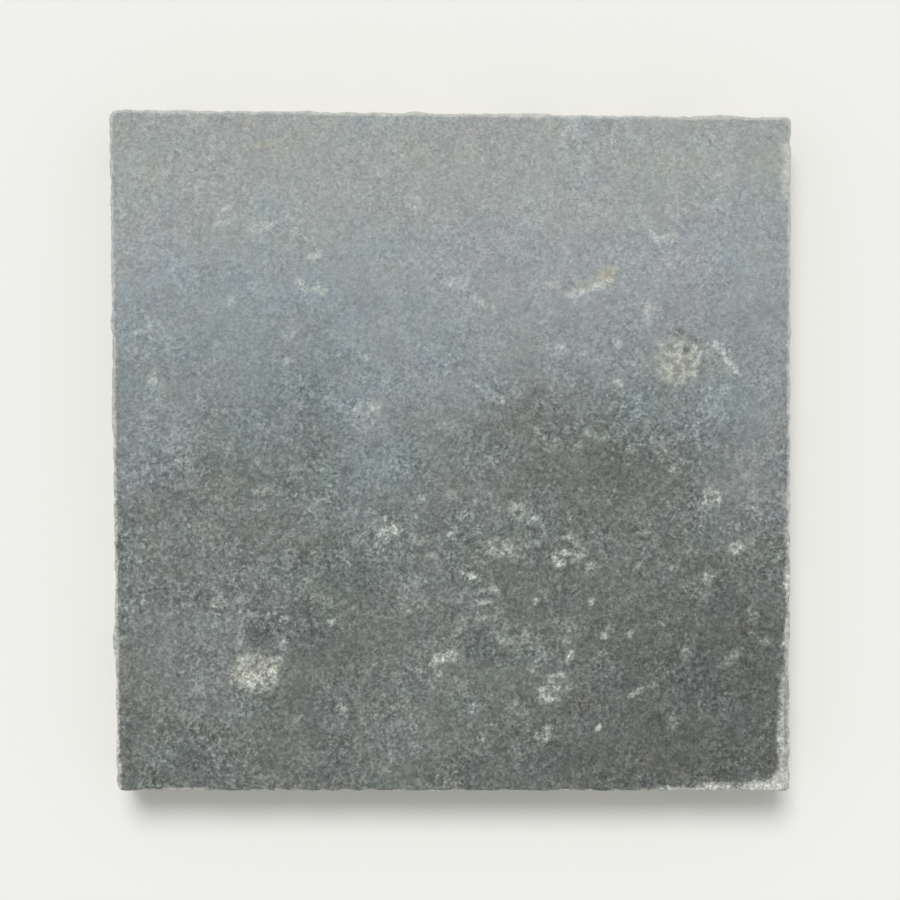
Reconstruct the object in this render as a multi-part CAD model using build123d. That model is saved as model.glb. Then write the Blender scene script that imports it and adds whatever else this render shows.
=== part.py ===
from build123d import *
import os

# A square floor tile of pressed cement, cast as one piece and worn by use.
# Millimetres. X runs to the right of the face and Y up it, seen from above, and Z is up.
# The origin is under the middle of the face, on the bed that the tile lies on.

# Face outline: a square that is a little out of true, as measured on the worn face
SIDE = 200.0
THICKNESS = 20.0
TOP_RIGHT_DROP = 2.4
BOTTOM_LEFT_INSET = 2.3
BOTTOM_RIGHT_INSET = 0.4

# Corner radii in plan, worn by different amounts
TOP_LEFT_RADIUS = 3.6
TOP_RIGHT_RADIUS = 1.6
BOTTOM_RIGHT_RADIUS = 2.4
BOTTOM_LEFT_RADIUS = 2.8

# Section: the sides lean in towards the bed, so that laid tiles touch at the face alone
SIDE_DRAFT = 1.0
FACE_ARRIS = 0.9
BED_ARRIS = 0.6

# Spalls in the face: x and y from the middle of the face, width across, depth
SPALLS = [
    (68.0, 28.0, 12.0, 0.7),
    (79.5, 29.0, 7.0, 0.4),
    (-56.0, -64.5, 12.0, 0.8),
    (-18.5, -22.5, 7.5, 0.5),
    (32.5, -30.5, 8.0, 0.6),
    (13.5, -28.5, 7.5, 0.4),
    (-2.5, -60.5, 7.5, 0.5),
    (29.5, -70.0, 8.5, 0.5),
    (77.0, -13.0, 6.0, 0.5),
]

# Flakes off the arris: distance along the edge from its first corner, width across, depth
LOWER_EDGE_FLAKES = [(14.0, 7.0, 1.7), (24.0, 6.0, 1.6), (166.0, 8.0, 1.8)]
RIGHT_EDGE_FLAKES = [(84.0, 6.0, 1.6), (160.0, 8.0, 1.7)]
CORNER_FLAKE_WIDTH = 15.0
CORNER_FLAKE_DEPTH = 2.2


def face_corners():
    """The four corners of the face before rounding, clockwise from the top left."""
    half = SIDE / 2
    return [
        Vector(-half, half),
        Vector(half, half - TOP_RIGHT_DROP),
        Vector(half - BOTTOM_RIGHT_INSET, -half),
        Vector(-half + BOTTOM_LEFT_INSET, -half),
    ]


def face_outline():
    """The face outline, each corner rounded by its own radius."""
    corners = face_corners()
    radii = [TOP_LEFT_RADIUS, TOP_RIGHT_RADIUS, BOTTOM_RIGHT_RADIUS, BOTTOM_LEFT_RADIUS]
    outline = make_face(Polyline(*corners, close=True))
    for corner, radius in zip(corners, radii):
        nearest = outline.vertices().sort_by_distance(corner)[0]
        outline = fillet(nearest, radius)
    return outline


def pressed_body():
    """The face outline pressed down to the bed, with its sides drafted and its arrises worn round."""
    body = extrude(face_outline(), amount=THICKNESS)
    sides = body.faces().filter_by(Axis.Z, reverse=True)
    body = draft(sides, Plane.XY.offset(THICKNESS), -SIDE_DRAFT)
    body = fillet(body.faces().sort_by(Axis.Z)[-1].edges(), FACE_ARRIS)
    return chamfer(body.faces().sort_by(Axis.Z)[0].edges(), BED_ARRIS)


def dish(place, width, depth):
    """A ball that cuts a round dish of this width and depth into the face, centred on place."""
    radius = (width * width / 4 + depth * depth) / (2 * depth)
    return Pos(place.X, place.Y, THICKNESS - depth + radius) * Sphere(radius)


def flakes(start, end, places):
    """One dish for each flake along the edge from start to end."""
    along = (end - start).normalized()
    return [dish(start + along * distance, width, depth) for distance, width, depth in places]


def tile():
    """The pressed body with its face spalls and the flakes off its arris."""
    _, top_right, bottom_right, bottom_left = face_corners()
    cuts = [dish(Vector(x, y), width, depth) for x, y, width, depth in SPALLS]
    cuts += flakes(bottom_left, bottom_right, LOWER_EDGE_FLAKES)
    cuts += flakes(top_right, bottom_right, RIGHT_EDGE_FLAKES)
    cuts.append(dish(bottom_right, CORNER_FLAKE_WIDTH, CORNER_FLAKE_DEPTH))
    return pressed_body() - cuts


os.makedirs("parts", exist_ok=True)
export_step(tile(), "parts/tile.step")
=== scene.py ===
import math
from collections import namedtuple

import bpy
import numpy as np
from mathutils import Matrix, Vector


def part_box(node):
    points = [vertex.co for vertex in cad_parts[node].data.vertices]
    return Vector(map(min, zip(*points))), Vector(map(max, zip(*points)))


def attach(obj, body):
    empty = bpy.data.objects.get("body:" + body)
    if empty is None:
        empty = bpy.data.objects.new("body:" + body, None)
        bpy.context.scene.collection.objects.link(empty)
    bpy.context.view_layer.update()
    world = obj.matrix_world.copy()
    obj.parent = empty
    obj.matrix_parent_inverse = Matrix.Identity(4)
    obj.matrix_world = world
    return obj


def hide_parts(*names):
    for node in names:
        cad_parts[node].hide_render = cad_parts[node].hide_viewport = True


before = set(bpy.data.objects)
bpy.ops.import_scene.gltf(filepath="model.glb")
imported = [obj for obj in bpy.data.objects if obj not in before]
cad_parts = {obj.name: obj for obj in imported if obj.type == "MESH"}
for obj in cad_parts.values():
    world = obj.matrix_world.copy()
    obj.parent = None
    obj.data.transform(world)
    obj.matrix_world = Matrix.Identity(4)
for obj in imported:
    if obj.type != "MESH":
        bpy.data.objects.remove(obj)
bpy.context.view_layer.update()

# A square cement floor tile, reclaimed and worn. Sizes are millimetres until the mesh is written.
# X runs to the right of the face and Y up it, seen from above. Z is up, and the tile lies on z = 0.
MM = 0.001
LOW, HIGH = [np.array(corner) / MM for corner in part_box("tile")]
THICKNESS = HIGH[2]
HALF = (HIGH[0] - LOW[0]) / 2

# Face outline: how far the corners of the square fall short, and how far each is worn round
TOP_RIGHT_DROP = 2.4
BOTTOM_LEFT_INSET = 2.3
BOTTOM_RIGHT_INSET = 0.4
CORNER_RADIUS = {"top_left": 3.4, "top_right": 1.6, "bottom_right": 2.0, "bottom_left": 2.4}
SIDE_DRAFT = math.tan(math.radians(1.0))
BED_ARRIS = 0.8
ARRIS_ROLL = 0.7

# Bands along the edges of the face, rubbed pale. The first four run all round and are partly a painted
# highlight of the arris lit from above the upper edge, so the one on the lower edge, in shade, is thin:
# edge, from, to, width
PAST_END = 110.0
WEAR_AND_HIGHLIGHT_BANDS = [
    ("upper", -PAST_END, PAST_END, 1.05),
    ("left", -PAST_END, PAST_END, 1.1),
    ("right", -PAST_END, PAST_END, 1.1),
    ("lower", -PAST_END, PAST_END, 0.35),
    ("right", -PAST_END, -62.0, 3.4),
    ("right", -64.0, -18.0, 1.7),
    ("right", 74.0, 95.0, 2.5),
    ("right", 40.0, 74.0, 1.2),
    ("lower", 83.0, PAST_END, 3.2),
    ("lower", 71.0, 84.0, 2.6),
    ("lower", 60.0, 76.0, 1.5),
    ("lower", -89.0, -71.0, 1.1),
    ("left", -PAST_END, -88.0, 1.5),
]
CORNER_WEAR_RADIUS = 10.0
CORNER_WEAR_WIDTH = 3.2
LEDGE_DEPTH = 0.35

# Chips off the arris: edge, middle along the edge, half length, reach into the face, depth
ARRIS_CHIPS = [
    ("lower", -83.7, 4.5, 1.6, 1.0),
    ("lower", -76.0, 3.0, 1.2, 0.9),
    ("lower", -38.0, 2.2, 1.0, 0.6),
    ("lower", 33.0, 2.6, 1.0, 0.6),
    ("lower", 68.3, 4.0, 1.6, 1.0),
    ("lower", 84.0, 3.0, 1.3, 0.8),
    ("right", -92.0, 3.0, 1.8, 0.9),
    ("right", -78.0, 4.0, 1.6, 0.8),
    ("right", -62.5, 4.0, 1.8, 1.0),
    ("right", -19.0, 1.4, 1.4, 1.0),
    ("right", 13.5, 3.0, 1.6, 0.9),
    ("right", 58.0, 2.6, 1.2, 0.7),
    ("upper", -43.5, 3.0, 1.0, 0.6),
    ("upper", 66.0, 3.4, 1.1, 0.6),
    ("left", 34.0, 2.6, 1.0, 0.6),
    ("left", -30.0, 3.0, 1.0, 0.5),
]
SMALL_CHIPS_PER_EDGE = 50

# Swellings of the outline: edge, middle along the edge, half length, outward shift
OUTLINE_SWELLINGS = [
    ("left", -56.0, 5.0, 0.8),
    ("left", 37.0, 3.0, 0.5),
    ("upper", 79.0, 7.0, 0.5),
    ("upper", -42.0, 4.0, 0.4),
    ("upper", -10.0, 4.0, 0.4),
    ("upper", 20.0, 12.0, 0.3),
    ("left", 12.0, 9.0, 0.3),
    ("right", 36.0, 2.0, 0.3),
]

# Marks in the face, oval dishes: middle, length, breadth, turn of the length in degrees, depth, which also
# sets painted shade and dirt in the dish, lime over all of it, lime along its rim, which on the lower rim
# is also a painted highlight of the wall that faces the lamp, and the way that part of the rim faces and
# half its sweep, in degrees
DOWN, RIGHT, UP, LEFT, ALL_ROUND = -90, 0, 90, 180, 180
Mark = namedtuple("Mark", "x y length breadth turn depth fill rim towards sweep",
                  defaults=(0.0, DOWN, ALL_ROUND))
FACE_MARKS = [
    Mark(66.2, 26.8, 11.5, 11.5, 0, 0.45, 0.45),
    # Painted shade: a slim dish along the right edge at its lower end, darkened by its depth as a bevel of
    # the arris there in shade
    Mark(98.6, -80.0, 38.0, 1.4, 90, 0.75, 0.00),
    # Painted shadow above the scab and painted shade in pits in it: dishes darkened by their depth
    Mark(68.0, 35.0, 8.5, 3.6, -15, 0.60, 0.00),
    Mark(69.2, 30.9, 3.4, 3.2, 0, 1.20, 0.00),
    Mark(71.0, 33.6, 3.0, 2.2, -10, 0.90, 0.00),
    Mark(64.2, 31.4, 2.6, 2.4, 0, 0.80, 0.00),
    Mark(79.0, 29.0, 9.0, 7.5, -40, 0.35, 0.28),
    Mark(78.6, 31.2, 7.5, 2.0, -40, 0.30, 1.05),
    Mark(82.2, 26.4, 8.0, 2.2, -48, 0.30, 1.05),
    Mark(-57.3, -65.3, 12.5, 11.0, 10, 0.50, 0.50),
    Mark(-57.0, -53.7, 12.0, 12.0, 0, 0.60, 0.00, 0.2, RIGHT, 55),
    Mark(-50.1, -56.4, 7.5, 1.5, 78, 0.00, 0.42),
    Mark(-49.8, -49.6, 2.8, 2.4, 0, 0.00, 0.55),
    Mark(-62.8, -52.0, 12.5, 1.5, 90, 0.00, 0.38),
    Mark(-18.3, -22.5, 8.0, 6.5, 70, 0.40, 0.40),
    Mark(30.7, -31.8, 6.4, 1.9, -34, 0.45, 1.10),
    Mark(33.0, -29.4, 6.0, 1.8, -14, 0.40, 1.10),
    Mark(33.4, -28.6, 10.0, 9.0, 0, 0.40, 0.12, 0.6, 35, 100),
    Mark(13.6, -28.0, 9.0, 7.0, 0, 0.35, 0.30),
    Mark(19.3, -17.0, 5.5, 4.4, -30, 0.35, 0.54, 0.2, DOWN, 80),
    Mark(24.1, -19.9, 2.8, 2.2, 10, 0.30, 0.75),
    Mark(9.8, -42.7, 4.8, 3.6, 0, 0.45, 0.00, 0.7, DOWN, 65),
    Mark(10.0, -42.4, 4.6, 3.4, 0, 0.40, 0.00, 0.4, UP, 70),
    Mark(5.2, -36.2, 7.0, 1.9, -22, 0.25, 0.85),
    Mark(8.2, -32.8, 6.5, 1.5, -45, 0.25, 0.45),
    Mark(-2.0, -60.4, 8.5, 4.6, -5, 0.40, 0.40),
    Mark(-3.4, -60.6, 4.2, 3.2, 0, 0.40, 1.25),
    Mark(-5.9, -30.4, 2.8, 1.8, 0, 0.20, 0.90),
    Mark(29.4, -69.6, 8.4, 7.0, 20, 0.50, 0.32, 0.9, -125, 70),
    Mark(27.9, -71.3, 3.4, 2.6, 0, 0.40, 0.78),
    Mark(30.4, -68.9, 8.8, 7.6, 20, 0.40, 0.10, 0.5, 50, 80),
    Mark(34.7, -60.0, 4.8, 2.2, 75, 0.35, 0.80),
    Mark(16.2, -54.9, 3.2, 2.6, 0, 0.30, 0.12, 0.5, DOWN, 120),
    Mark(22.7, -53.6, 2.6, 4.6, 10, 0.30, 0.20, 0.5, LEFT, 80),
    Mark(35.1, -51.6, 3.6, 2.6, 0, 0.25, 0.45),
    Mark(44.8, -53.8, 2.8, 1.8, 0, 0.25, 0.95),
    Mark(52.4, -53.2, 3.6, 1.6, 55, 0.25, 0.65),
    Mark(24.5, -43.8, 2.6, 2.0, 0, 0.25, 0.80),
    Mark(41.1, -43.6, 2.4, 2.2, 0, 0.25, 0.75),
    Mark(40.9, -34.4, 2.8, 3.8, 0, 0.25, 0.60),
    Mark(76.8, -12.7, 5.4, 5.6, 0, 0.45, 0.45, 0.9, -140, 120),
    Mark(83.9, -27.9, 4.8, 3.6, 0, 0.30, 0.90, 0.2, DOWN, 110),
    Mark(-9.0, -13.6, 2.4, 2.0, 0, 0.20, 0.65),
    Mark(-22.2, 13.4, 5.0, 3.4, 35, 0.25, 0.68),
    Mark(-25.5, 10.0, 9.0, 8.0, 60, 0.20, 0.24, 0.5, LEFT, 80),
    Mark(-25.0, 27.6, 2.0, 2.0, 0, 0.15, 0.80),
    Mark(-43.8, 48.8, 5.5, 1.8, -55, 0.25, 1.15),
    Mark(-38.8, 47.4, 4.8, 2.0, -15, 0.25, 1.30),
    Mark(-40.0, 57.5, 6.5, 2.0, 15, 0.20, 0.55),
    Mark(-66.5, 70.5, 6.5, 1.8, 35, 0.20, 0.60),
    Mark(-64.0, 68.4, 5.5, 1.7, 60, 0.20, 0.62),
    Mark(-67.5, 66.8, 4.5, 1.7, 10, 0.20, 0.75),
    Mark(-55.5, 65.6, 7.5, 2.8, 20, 0.25, 0.75),
    Mark(-58.5, 67.0, 4.0, 1.6, 50, 0.20, 0.50),
    Mark(-90.8, 34.8, 6.0, 1.5, 15, 0.20, 0.70),
    Mark(-88.8, 38.2, 4.5, 1.4, -55, 0.20, 0.50),
    Mark(-47.8, 26.6, 3.6, 1.5, -5, 0.25, 0.80),
    Mark(-88.0, 20.9, 2.6, 3.2, 0, 0.25, 0.85),
    Mark(-21.0, 83.0, 5.0, 4.0, 0, 0.15, 0.30),
    Mark(-9.2, 71.7, 3.0, 4.0, 0, 0.15, 0.32),
    Mark(61.5, 66.0, 6.5, 6.0, -20, 0.25, 0.12, 0.75, -135, 80),
    Mark(64.5, 64.0, 3.6, 3.0, 0, 0.20, 0.65),
    Mark(43.6, 49.6, 11.0, 2.6, 28, 0.20, 0.78),
    Mark(36.8, 47.0, 6.5, 2.2, 10, 0.20, 0.95),
    Mark(29.0, 50.0, 6.0, 2.0, -15, 0.20, 0.60),
    Mark(58.6, 42.3, 3.6, 4.8, 0, 0.25, 0.80, 0.3),
    Mark(32.3, 30.8, 4.6, 2.0, -25, 0.20, 0.65),
    Mark(49.3, 32.2, 3.2, 2.4, 15, 0.20, 0.70),
    Mark(13.2, 14.5, 6.0, 4.5, 20, 0.20, 0.10, 0.4, UP, 100),
    Mark(48.7, 21.0, 3.2, 1.7, -20, 0.20, 0.85),
    Mark(2.6, 50.0, 8.0, 5.0, 0, 0.20, 0.42, 0.2),
    Mark(8.2, 44.6, 5.5, 2.0, -40, 0.20, 0.95),
    Mark(12.5, 42.5, 4.4, 1.8, -60, 0.20, 0.45),
    Mark(-56.2, -11.3, 3.4, 3.0, 0, 0.30, 0.10, 0.7, DOWN, 130),
    Mark(43.1, -80.9, 2.0, 1.7, 0, 0.20, 1.35),
    Mark(5.7, -75.6, 4.4, 1.2, 88, 0.25, 0.85),
    Mark(54.0, -70.6, 6.0, 1.9, 30, 0.25, 0.70),
    Mark(82.0, -60.6, 8.0, 3.4, 45, 0.22, 0.48),
    Mark(-33.0, -75.5, 3.2, 2.6, 0, 0.25, 0.75),
    Mark(97.0, -83.0, 32.0, 2.2, 90, 0.00, 0.25),
    Mark(88.0, -98.4, 23.0, 2.8, 0, 0.00, 0.50),
    Mark(66.0, -99.3, 22.0, 1.8, 0, 0.00, 0.55),
    Mark(-69.5, -44.5, 4.0, 2.4, 0, 0.25, 0.75),
]
STREWN_MARKS = 150

# Scabs of lime, crowded clumps in an oval: middle, length, breadth, number of clumps
SCABS = [
    (66.6, 26.6, 11.5, 10.5, 34),
    (70.5, 31.0, 6.0, 6.0, 11),
    (-57.6, -65.4, 12.0, 9.5, 34),
    (-61.5, -61.5, 5.0, 4.0, 6),
    (-18.3, -22.5, 6.0, 7.5, 11),
    (13.6, -28.0, 8.5, 6.0, 9),
    (-2.2, -60.4, 7.5, 3.4, 7),
    (28.6, -70.2, 5.5, 4.5, 3),
]

# Stains, in the form of marks with no depth
STAIN_MARKS = [
    Mark(46.0, 52.6, 7.5, 4.6, 35, 0.0, 0.70),
    Mark(40.0, 50.0, 9.0, 3.2, 15, 0.0, 0.35),
    Mark(-54.6, 90.0, 7.0, 3.0, 15, 0.0, 0.35),
    Mark(66.5, 28.0, 14.0, 14.0, 0, 0.0, 0.34),
    Mark(-58.4, -64.0, 15.0, 12.0, 0, 0.0, 0.28),
    Mark(-2.2, -60.4, 8.0, 5.0, 0, 0.0, 0.25),
]

# Clouds in the tone of the face: x, y, half width, half height, darker (+) or paler (-)
TONE_CLOUDS = [
    (44.0, 1.0, 24.0, 15.0, 0.27),
    (21.0, 8.0, 11.0, 6.0, 0.13),
    (2.0, 13.0, 8.0, 8.0, -0.10),
    (43.0, 11.0, 8.0, 5.0, -0.10),
    (-23.0, 3.0, 8.0, 19.0, -0.15),
    (-38.5, 12.0, 6.0, 21.0, 0.11),
    (79.0, -68.0, 28.0, 32.0, 0.20),
    (87.0, 4.0, 11.0, 22.0, -0.12),
    (-92.0, 0.0, 12.0, 20.0, -0.08),
    (-74.0, -63.0, 18.0, 17.0, -0.21),
    (-2.0, -66.0, 20.0, 13.0, -0.11),
    (-57.0, -8.0, 12.0, 14.0, 0.08),
    (-44.0, -55.0, 12.0, 7.0, 0.12),
    (62.0, -42.0, 18.0, 12.0, 0.06),
    (-92.0, -92.0, 14.0, 10.0, 0.05),
    (0.0, 8.0, 120.0, 30.0, 0.09),
    (48.0, -8.0, 12.0, 10.0, 0.10),
    (30.0, -31.0, 11.0, 15.0, 0.17),
    (-29.0, -38.0, 12.0, 10.0, 0.10),
    (86.0, -58.0, 14.0, 14.0, 0.10),
    (58.0, -92.0, 45.0, 13.0, 0.10),
    (90.0, 42.0, 18.0, 22.0, 0.06),
    (10.0, 0.0, 8.0, 8.0, 0.06),
    (22.0, 2.0, 8.0, 6.0, -0.04),
    (-8.0, -40.0, 12.0, 9.0, -0.12),
    (48.0, -40.0, 9.0, 8.0, -0.07),
    (-2.0, -88.0, 26.0, 8.0, -0.04),
    (-14.5, -85.0, 9.0, 7.0, -0.13),
    (27.5, -85.0, 9.0, 7.0, 0.13),
    (-70.0, -80.0, 9.0, 7.0, -0.10),
    (3.0, -30.0, 10.0, 8.0, 0.08),
    (-82.0, -16.0, 18.0, 8.0, 0.06),
    (-41.0, -24.0, 8.0, 7.0, -0.09),
    (83.0, -72.5, 9.0, 7.0, 0.13),
]

# Clouds of cooler, bluer cement: x, y, half width, half height, strength
COOL_CLOUDS = [
    (-52.0, 38.0, 38.0, 34.0, 0.9),
    (-20.0, -4.0, 26.0, 24.0, 0.6),
    (55.0, 16.0, 26.0, 14.0, 0.4),
    (94.0, 50.0, 12.0, 40.0, 0.4),
]

# Mesh fineness: rows over the roll of the arris, how far in they and the worn outline reach, cells across
# the face (even), and rows down a side
ARRIS_ROWS = 6
ARRIS_REACH = 2.0
FACE_CELLS = 244
SIDE_ROWS = 22

# Blowholes in the mortar of the sides and bed, and the tone of that mortar, which sets its grain
SIDE_PITS = 150
BED_PITS = 160
MORTAR_TONE = 0.42

# Painted shade and dirt in hollows, of marks and of blowholes: the depth that counts as one, and the
# most that they hold
MARK_SHADE_AND_DIRT_DEPTH, MOST_MARK_SHADE_AND_DIRT = 0.5, 2.0
BLOWHOLE_SHADE_AND_DIRT_DEPTH, MOST_BLOWHOLE_SHADE_AND_DIRT = 0.25, 3.0

# What the mesh tells the material at each point: how dark it is, with a painted sheen that pales the
# upper face, how blue it is, its lime, with painted highlights on the lower rims of marks, its stain, its
# rubbed wear, with a painted highlight on the lit arris, the painted shade and dirt in its hollows, and
# whether it is mortar
LOOKS = ("patina_and_sheen", "cool", "lime_and_highlight", "stain", "worn", "hollow", "body")

# Sockets of a Mix node that mixes colours: its factor, its two colours and its result
FACTOR, FIRST, SECOND, MIXED = 0, 6, 7, 2


def smooth_step(value, start, end):
    """0 before start, 1 after end, and a smooth S between them."""
    t = np.clip((value - start) / (end - start), 0.0, 1.0)
    return t * t * (3.0 - 2.0 * t)


def lattice_noise(x, y, size, seed):
    """Noise from -1 to 1: random values at the knots of a square lattice, blended smoothly between."""
    knots = 64
    values = np.random.default_rng(seed).uniform(-1.0, 1.0, (knots, knots))
    column, row = np.floor(x / size), np.floor(y / size)
    along, up = smooth_step(x / size - column, 0, 1), smooth_step(y / size - row, 0, 1)
    left, low = column.astype(int) % knots, row.astype(int) % knots
    right, high = (left + 1) % knots, (low + 1) % knots
    lower = values[left, low] * (1 - along) + values[right, low] * along
    upper = values[left, high] * (1 - along) + values[right, high] * along
    return lower * (1 - up) + upper * up


def rough_noise(x, y, size, seed, octaves=3):
    """Lattice noise of a size, plus half as much at half the size, and so on."""
    layers = [lattice_noise(x, y, size / 2**k, seed + k) / 2**k for k in range(octaves)]
    return sum(layers) / (2.0 - 2.0 ** (1 - octaves))


def corner_radius(x, y):
    """The plan radius of the corner in each point's own quarter of the face."""
    upper = np.where(x < 0, CORNER_RADIUS["top_left"], CORNER_RADIUS["top_right"])
    lower = np.where(x < 0, CORNER_RADIUS["bottom_left"], CORNER_RADIUS["bottom_right"])
    return np.where(y > 0, upper, lower)


def round_corners(x, y):
    """The square with its corners bent to arcs. In the last radius of each corner, the square patch becomes
    a quarter disc: each coordinate is shortened by the root of one less half the other squared."""
    radius = corner_radius(x, y)
    a = np.clip((np.abs(x) - HALF + radius) / radius, 0.0, 1.0)
    b = np.clip((np.abs(y) - HALF + radius) / radius, 0.0, 1.0)
    shift_x = radius * a * (1.0 - np.sqrt(1.0 - b * b / 2.0))
    shift_y = radius * b * (1.0 - np.sqrt(1.0 - a * a / 2.0))
    return x - np.sign(x) * shift_x, y - np.sign(y) * shift_y


def inward_distance(x, y):
    """Distance in from the rounded outline of the square, and the outward direction at each point."""
    radius = corner_radius(x, y)
    qx, qy = np.abs(x) - HALF + radius, np.abs(y) - HALF + radius
    px, py = np.maximum(qx, 0.0), np.maximum(qy, 0.0)
    reach = np.hypot(px, py)
    distance = radius - reach - np.minimum(np.maximum(qx, qy), 0.0)
    flat = reach < 1e-9
    safe = np.where(flat, 1.0, reach)
    out_x = np.where(flat, (qx >= qy) * 1.0, px / safe) * np.sign(x)
    out_y = np.where(flat, (qx < qy) * 1.0, py / safe) * np.sign(y)
    return np.maximum(distance, 0.0), out_x, out_y


def edge_frame(edge, x, y):
    """Distance in from one edge, and the place along it."""
    along = x if edge in ("lower", "upper") else y
    distance = {"left": HALF + x, "right": HALF - x, "lower": HALF + y, "upper": HALF - y}[edge]
    return distance, along


def out_of_true(x, y):
    """The square pulled to the real corners, the pull shared out in proportion across the face."""
    right, up = 0.5 + x / (2 * HALF), 0.5 + y / (2 * HALF)
    shift_x = BOTTOM_LEFT_INSET * (1 - right) * (1 - up) - BOTTOM_RIGHT_INSET * right * (1 - up)
    shift_y = -TOP_RIGHT_DROP * right * up
    return x + shift_x, y + shift_y


def face_marks(x, y, marks):
    """Depth of the marks in the face and the lime in them. Each is an oval dish with a ragged rim, less
    ragged where it is slim. Lime fills it and thins out past the rim, and lies in an arc along the part
    of the rim that faces one way; where that is the lower rim, which faces the lamp, the pale arc is also
    a painted highlight."""
    most_ragged, ragged_size, slim_breadth = 0.30, 2.6, 4.0
    rim_reach, rim_breadth, arc_fade = 0.85, 0.75, 60
    fill_reach, fill_fade = 1.3, 0.8
    depth, lime_and_highlight = np.zeros_like(x), np.zeros_like(x)
    for mark in marks:
        near = np.hypot(x - mark.x, y - mark.y) < 0.8 * max(mark.length, mark.breadth) + 1.5
        near_x, near_y = x[near], y[near]
        dx, dy = near_x - mark.x, near_y - mark.y
        cos, sin = math.cos(math.radians(mark.turn)), math.sin(math.radians(mark.turn))
        along, across = dx * cos + dy * sin, dy * cos - dx * sin
        reach = np.hypot(along * 2 / mark.length, across * 2 / mark.breadth)
        ragged = most_ragged * min(1.0, mark.breadth / slim_breadth)
        reach = reach * (1 + ragged * rough_noise(near_x, near_y, ragged_size, 71))
        off = np.abs((np.degrees(np.arctan2(dy, dx)) - mark.towards + 180) % 360 - 180)
        arc = smooth_step(mark.sweep + arc_fade / 2 - off, 0, arc_fade)
        from_rim = (reach - rim_reach) * min(mark.length, mark.breadth) / 2
        in_arc = arc * np.exp(-((from_rim / rim_breadth) ** 2))
        filled = smooth_step(fill_reach - reach, 0.0, fill_fade)
        depth[near] = np.maximum(depth[near], mark.depth * np.clip(1.0 - reach**2, 0.0, 1.0))
        lime_and_highlight[near] = np.maximum(lime_and_highlight[near], np.maximum(mark.fill * filled, mark.rim * in_arc))
    return depth, lime_and_highlight


def strewn_marks():
    """Small faint marks strewn over the face, thickest about one place in its lower half, each a shallow
    dish with an arc of lime, mostly on its lower rim, which faces the lamp, so the arc is also a painted
    highlight."""
    rng = np.random.default_rng(5)
    middle_x, middle_y, spread_x, spread_y = 22.0, -38.0, 52.0, 42.0
    marks = []
    for _ in range(STREWN_MARKS):
        x, y = rng.normal(middle_x, spread_x), rng.normal(middle_y, spread_y)
        length, slender = rng.uniform(1.2, 3.8), rng.uniform(0.55, 1.0)
        turn, towards, sweep = rng.uniform(0, 180), rng.normal(DOWN, 60), rng.uniform(40, 160)
        shown = rng.uniform(0.08, 0.42)
        depth, fill = 0.3 * shown, 0.5 * shown
        marks.append(Mark(x, y, length, length * slender, turn, depth, fill, shown, towards, sweep))
    return marks


def scab_clumps():
    """The clumps of the scabs: small solid marks at random places inside each oval."""
    rng = np.random.default_rng(29)
    clump_depth = 0.1
    marks = []
    for x, y, length, breadth, count in SCABS:
        for _ in range(count):
            way, reach = rng.uniform(0, 2 * math.pi), 0.5 * math.sqrt(rng.uniform(0, 1))
            size, slender = rng.uniform(1.3, 3.2), rng.uniform(0.5, 1.0)
            turn, fill = rng.uniform(0, 180), rng.uniform(0.6, 1.2)
            clump_x = x + length * reach * math.cos(way)
            clump_y = y + breadth * reach * math.sin(way)
            marks.append(Mark(clump_x, clump_y, size, size * slender, turn, clump_depth, fill))
    return marks


def clouds(x, y, places):
    """The sum of soft clouds, each a bell that falls to about half at its half width and half height."""
    fall = 0.7
    cloudy = np.zeros_like(x)
    for cloud_x, cloud_y, half_width, half_height, strength in places:
        far = ((x - cloud_x) / half_width) ** 2 + ((y - cloud_y) / half_height) ** 2
        cloudy = cloudy + strength * np.exp(-fall * far)
    return cloudy


def tone_of_face(x, y):
    """How dark the face is, 0 to 1: a smooth darkening down the face, soft listed clouds whose
    borders wander, and a little uneven cloud of two sizes."""
    pale_above, dark_below, darkening = 88.0, -78.0, 0.80
    wander, wander_size = 7.0, 26.0
    # The darkening down the face is partly the cement's own tone and partly a painted sheen: the face is
    # painted paler towards its upper edge, which faces the lamp.
    tone = darkening * smooth_step(-y, -pale_above, -dark_below)
    wander_x = x + wander * rough_noise(x, y, wander_size, 11)
    wander_y = y + wander * rough_noise(x, y, wander_size, 21)
    tone = tone + clouds(wander_x, wander_y, TONE_CLOUDS)
    tone = tone + 0.035 * rough_noise(x, y, 30.0, 31) + 0.06 * rough_noise(x, y, 9.0, 41)
    return np.clip(tone, 0.0, 1.0)


def small_chips():
    """Small chips all along the arris, in the form of the listed ones."""
    rng = np.random.default_rng(3)
    chips = []
    for edge in ("left", "right", "lower", "upper"):
        for middle in rng.uniform(-HALF, HALF, SMALL_CHIPS_PER_EDGE):
            half_length, reach = rng.uniform(0.9, 3.0), rng.uniform(0.5, 1.3)
            chips.append((edge, middle, half_length, reach, reach * rng.uniform(0.4, 0.8)))
    return chips


def arris_chips(x, y):
    """Depth of the chips off the arris: each a scoop, deepest at its middle on the edge, that shallows
    with the square of the distance along the edge and into the face."""
    depth = np.zeros_like(x)
    ragged = 0.35 * rough_noise(x, y, 1.8, 51)
    for edge, middle, half_length, reach, deep in ARRIS_CHIPS + small_chips():
        distance, along = edge_frame(edge, x, y)
        scoop = 1.0 - ((along - middle) / half_length) ** 2 - (distance / reach) ** 2
        depth = np.maximum(depth, deep * np.clip(scoop + ragged * (scoop > 0), 0.0, 1.0))
    return depth


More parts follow.
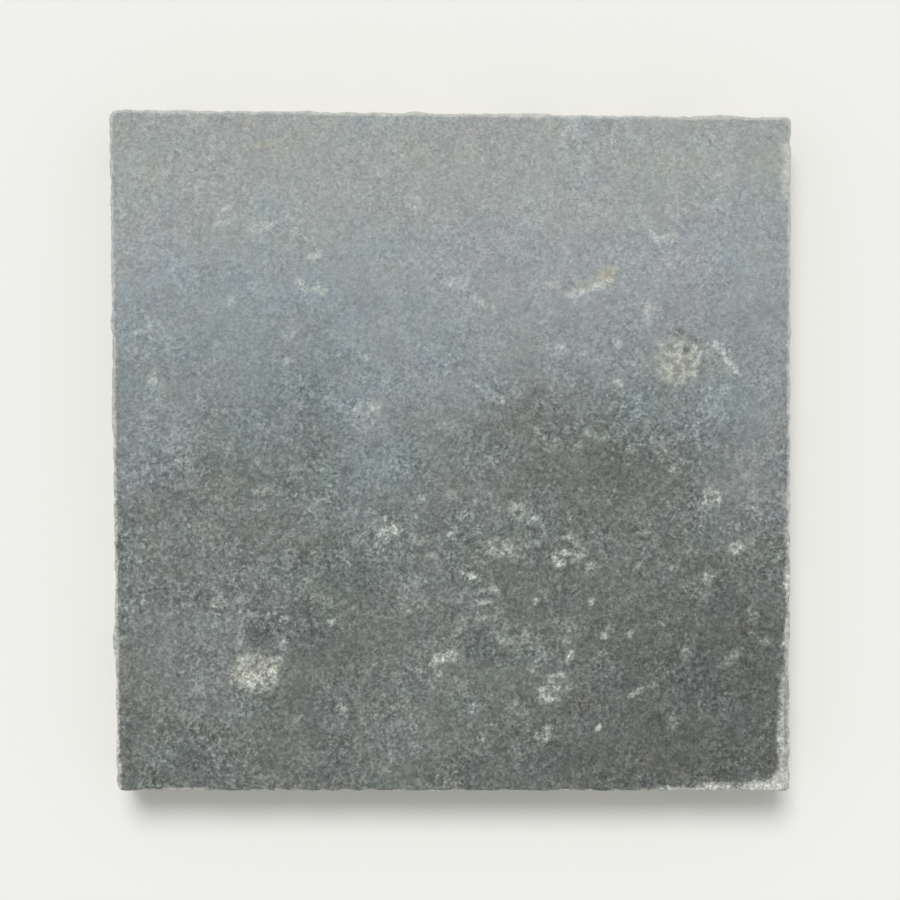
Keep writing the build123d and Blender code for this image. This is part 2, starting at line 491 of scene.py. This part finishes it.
def worn_edges(x, y, distance, out_x, out_y):
    """How pale the edge of the face is, 0 to 1, from rubbed wear and from a painted highlight on the arris
    lit from above the upper edge: full at the edge and none past the width of each band, with a ragged
    border, and a sickle at the lower right corner, outside a quarter circle."""
    end_fade = 5.0
    ragged = 0.45 * rough_noise(x, y, 3.2, 141)
    facing = {"left": -out_x, "right": out_x, "lower": -out_y, "upper": out_y}
    worn = np.zeros_like(x)
    for edge, start, end, width in WEAR_AND_HIGHLIGHT_BANDS:
        along = edge_frame(edge, x, y)[1]
        window = smooth_step(along, start, start + end_fade) * smooth_step(end - along, 0.0, end_fade)
        band = smooth_step(1.35 + ragged - distance / width, 0.0, 0.7)
        worn = np.maximum(worn, band * window * smooth_step(facing[edge], 0.3, 0.7))
    from_middle = np.hypot(x - HALF + CORNER_WEAR_RADIUS, y + HALF - CORNER_WEAR_RADIUS)
    in_corner = (x > HALF - CORNER_WEAR_RADIUS) & (y < -HALF + CORNER_WEAR_RADIUS)
    past = from_middle - CORNER_WEAR_RADIUS + CORNER_WEAR_WIDTH + 1.2 * ragged
    return np.maximum(worn, in_corner * smooth_step(past, 0.0, 1.2))


def outline_shift(x, y, chip_depth):
    """How far the outline is worn in from true: a little everywhere, more at the chips, and outwards at
    the few listed swellings."""
    everywhere, at_chips, swelling_reach = 0.16, 0.4, 4.0
    shift = everywhere + 0.06 * rough_noise(x, y, 16.0, 81) + 0.14 * rough_noise(x, y, 2.6, 91)
    shift = shift + at_chips * chip_depth
    for edge, middle, half_length, outward in OUTLINE_SWELLINGS:
        distance, along = edge_frame(edge, x, y)
        window = np.clip(1.0 - ((along - middle) / half_length) ** 2, 0.0, 1.0)
        shift = shift - outward * window * np.exp(-distance / swelling_reach)
    return shift


def shade_and_dirt_in(depth, full_depth, most):
    """Painted shade and dirt in hollows, in step with their depth: one at the full depth, and never past
    the most.
    """
    return np.clip(depth / full_depth, 0.0, most)


def spaced(cells):
    """Grid lines across the face, even round the roll of the arris, and closing up towards it from the
    middle of the face."""
    crowding = 0.35
    turn = np.linspace(0.0, math.pi / 2, ARRIS_ROWS + 1)
    rolled = HALF - ARRIS_REACH * (1.0 - np.cos(turn))
    t = np.linspace(-1.0, 1.0, cells - 2 * ARRIS_ROWS + 1)
    inner = rolled[-1] * ((1 - crowding) * t + crowding * np.sin(t * math.pi / 2))
    return np.concatenate([-rolled[:-1], inner, rolled[-2::-1]])


def face_surface():
    """The worn face as a height over a grid of x and y. The height is the thickness less a gentle sag,
    the marks, the worn ledges, the chips and the quarter-round roll of the arris, and nothing stands
    proud. Lime and stain leave the floors of the deepest pits bare."""
    line = spaced(FACE_CELLS)
    x, y = round_corners(*np.meshgrid(line, line))
    distance, out_x, out_y = inward_distance(x, y)
    mark_depth, lime_and_highlight = face_marks(x, y, FACE_MARKS + scab_clumps() + strewn_marks())
    stain = face_marks(x, y, STAIN_MARKS)[1]
    bare_from, bare_at = 0.6, 0.85
    covered = 1.0 - smooth_step(mark_depth, bare_from, bare_at)
    chip_depth = arris_chips(x, y)
    worn = worn_edges(x, y, distance, out_x, out_y)

    width = ARRIS_ROLL * (1 + 0.35 * rough_noise(x, y, 9.0, 101))
    roll = width * (1.0 - np.sqrt(1.0 - np.clip(1.0 - distance / width, 0.0, 1.0) ** 2))
    sag = 0.10 + 0.10 * rough_noise(x, y, 45.0, 111) + 0.02 * rough_noise(x, y, 2.4, 121)
    crumble = worn * (LEDGE_DEPTH + 0.08 * rough_noise(x, y, 1.8, 131))
    drop = np.maximum(sag + mark_depth, 0.0) + np.maximum(roll, chip_depth) + np.maximum(crumble, 0.0)
    near_edge = np.clip(1.0 - distance / ARRIS_REACH, 0.0, 1.0) ** 2
    shift = outline_shift(x, y, chip_depth) * near_edge

    true_x, true_y = out_of_true(x, y)
    points = np.stack([true_x - out_x * shift, true_y - out_y * shift, THICKNESS - drop], axis=-1)
    looks = {
        "patina_and_sheen": tone_of_face(x, y),
        "cool": np.clip(clouds(x, y, COOL_CLOUDS) + 0.25 * rough_noise(x, y, 12.0, 201), 0.0, 1.0),
        "lime_and_highlight": lime_and_highlight * covered,
        "stain": stain * covered,
        "worn": np.maximum(worn, smooth_step(chip_depth, 0.1, 0.4)),
        "hollow": shade_and_dirt_in(mark_depth, MARK_SHADE_AND_DIRT_DEPTH, MOST_MARK_SHADE_AND_DIRT),
        "body": np.zeros_like(x),
    }
    return points, looks


def rim(grid):
    """The border of a grid as one closed loop, anticlockwise from above."""
    return np.concatenate([grid[0, :-1], grid[:-1, -1], grid[-1, :0:-1], grid[:0:-1, 0]])


def outward_of(loop):
    """The outward direction in plan at each point of a loop, square to the line between points nearby."""
    nearby = 4
    along = np.roll(loop, -nearby, axis=0)[:, :2] - np.roll(loop, nearby, axis=0)[:, :2]
    out = np.stack([along[:, 1], -along[:, 0]], axis=-1)
    return out / np.linalg.norm(out, axis=-1, keepdims=True)


def blowholes(points, middles, widths):
    """Depth of the blowholes left by casting: each a round bowl, as deep as a share of its width, that
    shallows with the square of the distance from its middle."""
    depth_share = 0.3
    depth = np.zeros(points.shape[:-1])
    for middle, width in zip(middles, widths):
        reach = np.linalg.norm(points - middle, axis=-1) * 2 / width
        depth = np.maximum(depth, depth_share * width * np.clip(1.0 - reach**2, 0.0, 1.0))
    return depth


def side_pits(edge_loop, points):
    """Depth of the blowholes in the sides, at random places, most of them small."""
    rng = np.random.default_rng(17)
    lowest, highest, least_width, spread = 1.5, 17.5, 1.5, 0.8
    middles = edge_loop[rng.integers(0, len(edge_loop), SIDE_PITS)]
    middles[:, 2] = rng.uniform(lowest, highest, SIDE_PITS)
    return blowholes(points, middles, least_width + rng.exponential(spread, SIDE_PITS))


def bed_pits(points):
    """Depth of the blowholes in the bed, at random places, most of them small."""
    rng = np.random.default_rng(19)
    least_width, spread = 2.4, 1.0
    middles = np.zeros((BED_PITS, 3))
    middles[:, :2] = rng.uniform(-HALF, HALF, (BED_PITS, 2))
    return blowholes(points, middles, least_width + rng.exponential(spread, BED_PITS))


def side_surface(edge_loop):
    """The four sides as rows of loops under the face's border. Each row is moved in by the draft, by
    rough casting hollows and by blowholes, and the last rows turn in under the bed arris. The face's own
    cement runs a little way down, to a wavy line, and mortar shows below it. Noise is read on a slant, so
    that it varies down the sides too."""
    casting_depth = 0.16
    out = outward_of(edge_loop)
    down = np.linspace(0.0, 1.0, SIDE_ROWS + 1)[1:, None]
    z = edge_loop[:, 2] * (1.0 - down) + BED_ARRIS * down
    x, y = edge_loop[:, 0] + 0 * z, edge_loop[:, 1] + 0 * z
    slant_x, slant_y = x + 0.8 * z, y + 1.1 * z
    casting = casting_depth * (1 + rough_noise(slant_x, slant_y, 16.0, 151))
    casting += casting_depth * (1 + rough_noise(slant_x, slant_y, 3.4, 161))
    pits = side_pits(edge_loop, np.stack([x, y, z], axis=-1))
    inset = (THICKNESS - z) * SIDE_DRAFT + (casting + pits) * smooth_step(down, 0.0, 0.2)
    below_face = edge_loop[:, 2] - z + 1.4 * rough_noise(slant_x, slant_y, 7.0, 221)

    turn = np.array([[0.55], [1.0]])
    ragged = BED_ARRIS * turn**1.5 * (1.2 + 0.5 * rough_noise(x[-1:], y[-1:], 5.0, 171))
    inset = np.concatenate([inset, inset[-1:] + ragged])
    z = np.concatenate([z, BED_ARRIS * (1.0 - turn) + 0 * ragged])
    plan = edge_loop[:, :2] - out * inset[..., None]
    pit_shade_and_dirt = shade_and_dirt_in(pits, BLOWHOLE_SHADE_AND_DIRT_DEPTH, MOST_BLOWHOLE_SHADE_AND_DIRT)
    looks = {
        "patina_and_sheen": np.full(z.shape, MORTAR_TONE),
        "hollow": np.concatenate([pit_shade_and_dirt, 0 * ragged]),
        "body": np.concatenate([smooth_step(below_face, 0.2, 1.8), np.ones_like(ragged)]),
    }
    return np.concatenate([plan, z[..., None]], axis=-1), looks


def bed_surface(bed_loop):
    """The bed as a coarser grid inside the last loop of the sides, raised a little by its rough casting,
    never below the floor. The grid's square is pulled to the loop's four corners."""
    border, seated = 3.0, 0.1
    line = np.linspace(-1.0, 1.0, FACE_CELLS // 2 + 1)
    u, v = np.meshgrid(line, line)
    corners = bed_loop[::FACE_CELLS, :2] * (1.0 - border / HALF)
    weights = [(1 - u) * (1 - v), (1 + u) * (1 - v), (1 + u) * (1 + v), (1 - u) * (1 + v)]
    plan = sum(weight[..., None] / 4 * corner for weight, corner in zip(weights, corners))
    x, y = plan[..., 0], plan[..., 1]
    pits = bed_pits(np.stack([x, y, 0 * x], axis=-1))
    rise = 0.16 * (1 + rough_noise(x, y, 22.0, 181)) + 0.14 * (1 + rough_noise(x, y, 4.0, 191)) - seated
    z = np.maximum(rise, 0.0) + pits
    looks = {
        "patina_and_sheen": np.full(x.shape, MORTAR_TONE),
        "hollow": shade_and_dirt_in(pits, BLOWHOLE_SHADE_AND_DIRT_DEPTH, MOST_BLOWHOLE_SHADE_AND_DIRT),
        "body": np.ones_like(x),
    }
    return np.concatenate([plan, z[..., None]], axis=-1), looks


def quads_of(grid):
    """The cells of a grid of point numbers, facing up where the grid runs right and then up."""
    return np.stack([grid[:-1, :-1], grid[:-1, 1:], grid[1:, 1:], grid[1:, :-1]], axis=-1).reshape(-1, 4)


def numbered(surface, first):
    """The point numbers of a grid of points, counted on from the first."""
    shape = surface.shape[:2]
    return first + np.arange(shape[0] * shape[1]).reshape(shape)


def skin_polygons(face, sides, bed):
    """The polygons of the closed skin, from the three grids of points, joined point to point. Between
    the sides and the coarser bed, each bed cell takes two side points, as five-sided faces."""
    face_ids = numbered(face, 0)
    side_ids = numbered(sides, face_ids.size)
    bed_ids = numbered(bed, face_ids.size + side_ids.size)
    upper = np.concatenate([rim(face_ids)[None], side_ids[:-1]])
    after = np.roll(np.arange(side_ids.shape[1]), -1)
    side_quads = np.stack([side_ids, side_ids[:, after], upper[:, after], upper], axis=-1).reshape(-1, 4)
    fine, coarse = side_ids[-1], rim(bed_ids)
    next_coarse, next_fine = np.roll(coarse, -1), np.roll(fine[::2], -1)
    joins = np.stack([coarse, next_coarse, next_fine, fine[1::2], fine[::2]], axis=-1)
    polygons = quads_of(face_ids).tolist() + side_quads.tolist() + joins.tolist()
    return polygons + quads_of(bed_ids)[:, ::-1].tolist()


def tile_mesh():
    """The closed skin of the tile: the face, the sides under it and the bed, with the looks of each point
    as attributes."""
    face, face_looks = face_surface()
    sides, side_looks = side_surface(rim(face))
    bed, bed_looks = bed_surface(sides[-1])
    surfaces = ((face, face_looks), (sides, side_looks), (bed, bed_looks))
    points = np.concatenate([surface.reshape(-1, 3) for surface, _ in surfaces])
    polygons = skin_polygons(face, sides, bed)

    mesh = bpy.data.meshes.new("cement_tile")
    mesh.from_pydata((points * MM).tolist(), [], polygons)
    mesh.polygons.foreach_set("use_smooth", np.ones(len(polygons), dtype=bool))
    for name in LOOKS:
        values = [looks.get(name, np.zeros(surface.shape[:2])).ravel() for surface, looks in surfaces]
        attribute = mesh.attributes.new(name, "FLOAT", "POINT")
        attribute.data.foreach_set("value", np.concatenate(values).astype(np.float32))
    mesh.update()
    return mesh


def linear(hex_colour):
    """An sRGB hex colour as linear red, green, blue and full alpha."""
    channels = [int(hex_colour[k:k + 2], 16) / 255 for k in (1, 3, 5)]
    return [c / 12.92 if c <= 0.04045 else ((c + 0.055) / 1.055) ** 2.4 for c in channels] + [1.0]


def per_metre(size_mm):
    """The texture scale for a pattern of this size in millimetres, on Object coordinates in metres."""
    return 1.0 / (size_mm * MM)


def add(tree, kind, inputs, output=0, **settings):
    """Adds a node, sets it up, fills its inputs with values or links, and gives back one of its outputs."""
    node = tree.nodes.new("ShaderNode" + kind)
    for name, value in settings.items():
        setattr(node, name, value)
    for key, value in inputs.items():
        if isinstance(value, bpy.types.NodeSocket):
            tree.links.new(value, node.inputs[key])
        else:
            node.inputs[key].default_value = value
    return node.outputs[output] if node.outputs else None


def uneven_patterns(tree, place):
    """The uneven patterns in the cement, by name, each spread to about -1 to 1."""
    # Size in millimetres, octaves, roughness, spread
    patterns = {
        "scuff": (9.0, 4.0, 0.98, 0.10),
        "grit": (0.75, 1.0, 0.6, 0.14),
        "crumbs": (1.7, 2.0, 0.8, 0.14),
        "smears": (16.0, 4.0, 0.7, 0.15),
        "curls": (4.0, 2.0, 0.6, 0.16),
        "patches": (15.0, 2.0, 0.6, 0.16),
        "tint": (24.0, 4.0, 0.75, 0.15),
    }
    noise = {}
    for name, (size, octaves, roughness, spread) in patterns.items():
        raw = add(tree, "TexNoise", {"Vector": place, "Scale": per_metre(size), "Detail": octaves,
                                     "Roughness": roughness})
        noise[name] = add(tree, "MapRange", {"Value": raw, "From Min": 0.5 - spread,
                                             "From Max": 0.5 + spread, "To Min": -1.0, "To Max": 1.0},
                          clamp=False)
    return noise


def sand_and_crystals(tree, place):
    """Sand grains, each of its own shade, and sparse larger crystals and pits, both from -1 to 1. Real sand
    of half a millimetre and less is too fine to show, so its grains are drawn a millimetre across."""
    sand_size, crystal_spacing, wander_size, wander_reach = 1.0, 2.4, 1.1, 1.3
    wander = add(tree, "TexNoise", {"Vector": place, "Scale": per_metre(wander_size), "Detail": 2.0},
                 "Color")
    bend = add(tree, "VectorMath", {0: wander, 1: (0.5, 0.5, 0.5)}, operation="SUBTRACT")
    bend = add(tree, "VectorMath", {0: bend, "Scale": wander_reach * MM}, operation="SCALE")
    bent = add(tree, "VectorMath", {0: place, 1: bend}, operation="ADD")
    sand = add(tree, "TexVoronoi", {"Vector": bent, "Scale": per_metre(sand_size)}, "Color")
    sand = add(tree, "MapRange", {"Value": sand, "To Min": -1.0, "To Max": 1.0})
    cell = add(tree, "TexVoronoi", {"Vector": bent, "Scale": per_metre(crystal_spacing)}, "Distance")
    chance = add(tree, "MapRange", {"Value": cell.node.outputs["Color"], "To Min": -1.0, "To Max": 1.0})
    strength = add(tree, "Math", {0: chance, 1: 3.0}, operation="POWER")
    kernel = add(tree, "MapRange", {"Value": cell, "From Min": 0.10, "From Max": 0.45, "To Min": 1.0,
                                    "To Max": 0.0}, interpolation_type="SMOOTHSTEP")
    return sand, add(tree, "Math", {0: strength, 1: kernel}, operation="MULTIPLY")


def curls_of_paste(tree, noise):
    """Fine pale curls of paste, 0 to 1, where the curl pattern passes through nought, in some patches."""
    flat = add(tree, "Math", {0: noise["curls"]}, operation="ABSOLUTE")
    curls = add(tree, "MapRange", {"Value": flat, "From Max": 0.22, "To Min": 1.0, "To Max": 0.0})
    patchy = add(tree, "MapRange", {"Value": noise["patches"], "From Min": -0.5, "From Max": 1.0})
    return add(tree, "Math", {0: curls, 1: patchy}, operation="MULTIPLY")


def tone_colour(tree, look, noise):
    """The cement's colour, with the painted sheen in its tone: from pale to dark by its tone, cooler in its
    blue clouds, with two faint casts that come and go."""
    stops = [(0.0, "#a1a4a3"), (0.14, "#999da0"), (0.40, "#878c8d"), (0.70, "#727673"), (1.0, "#5e615e")]
    colour = add(tree, "ValToRGB", {"Fac": look["patina_and_sheen"]})
    ramp = colour.node.color_ramp
    while len(ramp.elements) < len(stops):
        ramp.elements.new(0.5)
    for element, (position, shade) in zip(ramp.elements, stops):
        element.position = position
        element.color = linear(shade)
    colour = add(tree, "Mix", {FACTOR: look["cool"], FIRST: colour, SECOND: linear("#f4fdfd")}, MIXED,
                 data_type="RGBA", blend_type="MULTIPLY")
    for pattern, one, other in (("tint", "#fffcfd", "#fbfffd"), ("smears", "#fffdf9", "#f9fdff")):
        side = add(tree, "MapRange", {"Value": noise[pattern], "From Min": -1.0, "From Max": 1.0})
        cast = add(tree, "Mix", {FACTOR: side, FIRST: linear(one), SECOND: linear(other)}, MIXED,
                   data_type="RGBA")
        colour = add(tree, "Mix", {FACTOR: 1.0, FIRST: colour, SECOND: cast}, MIXED, data_type="RGBA",
                     blend_type="MULTIPLY")
    return colour


def with_deposits(tree, colour, look, noise):
    """Lime, stain and rubbed wear over the colour, with the painted highlights on the lower rims of the
    marks and on the lit arris in the same pale colours. They lie in crumbs, firmer where they are thick.
    """
    # Sway of the cover from crumb to crumb, mean cover, colour
    deposits = {
        "lime_and_highlight": (0.72, 0.68, "#cad0c9"),
        "stain": (0.30, 0.55, "#c6be9c"),
        "worn": (0.45, 0.80, "#c4c4be"),
    }
    thick_sway = 0.45
    for name, (sway, cover, shade) in deposits.items():
        loose = add(tree, "MapRange", {"Value": look[name], "To Min": sway, "To Max": thick_sway * sway})
        swayed = add(tree, "Math", {0: noise["crumbs"], 1: loose, 2: cover}, operation="MULTIPLY_ADD")
        amount = add(tree, "Math", {0: look[name], 1: swayed}, operation="MULTIPLY", use_clamp=True)
        colour = add(tree, "Mix", {FACTOR: amount, FIRST: colour, SECOND: linear(shade)}, MIXED,
                     data_type="RGBA")
    return colour


def with_mortar(tree, colour, look, noise):
    """Mortar in place of the colour at the sides and bed, in smears of two beiges."""
    smeared = add(tree, "MapRange", {"Value": noise["smears"], "From Min": -0.8, "From Max": 0.8},
                  interpolation_type="SMOOTHSTEP")
    mortar = add(tree, "Mix", {FACTOR: smeared, FIRST: linear("#a19f96"), SECOND: linear("#b9b4a5")}, MIXED,
                 data_type="RGBA")
    return add(tree, "Mix", {FACTOR: look["body"], FIRST: colour, SECOND: mortar}, MIXED, data_type="RGBA")


def grain_contrast(tree, look, noise):
    """How strongly the grain shows: more where the face is dark, so less under the painted sheen on its
    upper part, uneven from patch to patch, at least some in hollows, and less at the pale edge, rubbed and
    painted with a highlight."""
    contrast = add(tree, "MapRange", {"Value": look["patina_and_sheen"], "From Min": 0.2, "From Max": 0.65,
                                      "To Min": 0.24, "To Max": 0.58})
    uneven = add(tree, "MapRange", {"Value": noise["patches"], "From Min": -1.0, "From Max": 1.0,
                                    "To Min": 0.7, "To Max": 1.2})
    contrast = add(tree, "Math", {0: contrast, 1: uneven}, operation="MULTIPLY")
    rough = add(tree, "MapRange", {"Value": look["hollow"], "To Max": 0.45})
    contrast = add(tree, "Math", {0: contrast, 1: rough}, operation="MAXIMUM")
    calm = add(tree, "MapRange", {"Value": look["worn"], "To Min": 1.0, "To Max": 0.65})
    return add(tree, "Math", {0: contrast, 1: calm}, operation="MULTIPLY")


def worn_cement():
    """Pressed cement, worn and matte: a cloudy blue-grey face, painted paler with a sheen towards its upper
    edge, with sandy salt-and-pepper grain that shows most where it is dark, crumbs of pale lime in its
    marks, painted highlights on their lower rims and on the lit arris, painted shade and dirt in its
    hollows, and beige mortar at its sides."""
    material = bpy.data.materials.new("worn_pressed_cement")
    material.use_nodes = True
    tree = material.node_tree
    tree.nodes.clear()
    place = add(tree, "TexCoord", {}, "Object")
    look = {name: add(tree, "Attribute", {}, "Fac", attribute_name=name) for name in LOOKS}
    noise = uneven_patterns(tree, place)
    sand, crystals = sand_and_crystals(tree, place)
    curls = curls_of_paste(tree, noise)

    colour = tone_colour(tree, look, noise)
    colour = with_deposits(tree, colour, look, noise)
    colour = with_mortar(tree, colour, look, noise)

    # Grain, and the painted shade and dirt in hollows, shade all of it, as a power of two
    layers = [(noise["scuff"], 0.40), (noise["grit"], 0.62), (sand, 1.10), (crystals, 1.3), (curls, 0.50)]
    grain = 0.0
    for layer, weight in layers:
        grain = add(tree, "Math", {0: layer, 1: weight, 2: grain}, operation="MULTIPLY_ADD")
    contrast = grain_contrast(tree, look, noise)
    shade_and_dirt = add(tree, "Math", {0: look["hollow"], 1: -0.36}, operation="MULTIPLY")
    doublings = add(tree, "Math", {0: grain, 1: contrast, 2: shade_and_dirt}, operation="MULTIPLY_ADD")
    shade = add(tree, "Math", {0: 2.0, 1: doublings}, operation="POWER")
    colour = add(tree, "Mix", {FACTOR: 1.0, FIRST: colour, SECOND: shade}, MIXED, data_type="RGBA",
                 blend_type="MULTIPLY")

    # Relief too fine for the mesh: grit and crystals, and coarse sand on the mortar
    coarse = add(tree, "Math", {0: noise["crumbs"], 1: look["body"]}, operation="MULTIPLY")
    height = add(tree, "Math", {0: crystals, 1: 1.5, 2: noise["grit"]}, operation="MULTIPLY_ADD")
    height = add(tree, "Math", {0: coarse, 1: 3.0, 2: height}, operation="MULTIPLY_ADD")
    normal = add(tree, "Bump", {"Strength": 0.6, "Distance": 0.06 * MM, "Height": height})
    shader = add(tree, "BsdfPrincipled", {"Base Color": colour, "Roughness": 0.88, "Normal": normal})
    add(tree, "OutputMaterial", {"Surface": shader})
    return material


def studio_floor():
    """A plain pale floor."""
    material = bpy.data.materials.new("pale_floor")
    material.use_nodes = True
    shader = material.node_tree.nodes["Principled BSDF"]
    shader.inputs["Base Color"].default_value = linear("#f0f0ec")
    shader.inputs["Roughness"].default_value = 0.9
    size = 6.0
    corners = [(-size, -size, 0.0), (size, -size, 0.0), (size, size, 0.0), (-size, size, 0.0)]
    mesh = bpy.data.meshes.new("floor")
    mesh.from_pydata(corners, [], [(0, 1, 2, 3)])
    mesh.materials.append(material)
    floor = bpy.data.objects.new("floor", mesh)
    bpy.context.scene.collection.objects.link(floor)


def studio_light():
    """Even pale surroundings, seen as near white, and one large soft lamp, from above the upper edge."""
    world = bpy.data.worlds.new("studio")
    world.use_nodes = True
    tree = world.node_tree
    tree.nodes.clear()
    seen = add(tree, "LightPath", {}, "Is Camera Ray")
    rays = seen.node.outputs
    for kind in ("Is Glossy Ray", "Is Transmission Ray"):
        seen = add(tree, "Math", {0: seen, 1: rays[kind]}, operation="MAXIMUM")
    strength = add(tree, "MapRange", {"Value": seen, "To Min": 0.5, "To Max": 0.92})
    background = add(tree, "Background", {"Color": linear("#ffffff"), "Strength": strength})
    add(tree, "OutputWorld", {"Surface": background})
    bpy.context.scene.world = world
    lamp = bpy.data.lights.new("key", "SUN")
    lamp.energy = 1.82
    lamp.angle = math.radians(25)
    key = bpy.data.objects.new("key", lamp)
    key.rotation_euler = (math.radians(-30), math.radians(-6), 0.0)
    bpy.context.scene.collection.objects.link(key)


def overhead_camera():
    """A camera straight above the middle of the face, with the upper edge of the face at the top."""
    lens = bpy.data.cameras.new("camera")
    lens.lens = 85.0
    share_of_frame = 0.76
    distance = 2 * HALF * MM / share_of_frame * lens.lens / lens.sensor_width
    camera = bpy.data.objects.new("camera", lens)
    camera.location = (0.0, 0.0, THICKNESS * MM + distance)
    bpy.context.scene.collection.objects.link(camera)
    bpy.context.scene.camera = camera


tile = bpy.data.objects.new("cement_tile", tile_mesh())
tile.data.materials.append(worn_cement())
bpy.context.scene.collection.objects.link(tile)
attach(tile, "root")
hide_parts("tile")

studio_floor()
studio_light()
overhead_camera()
bpy.context.scene.view_settings.view_transform = "Standard"
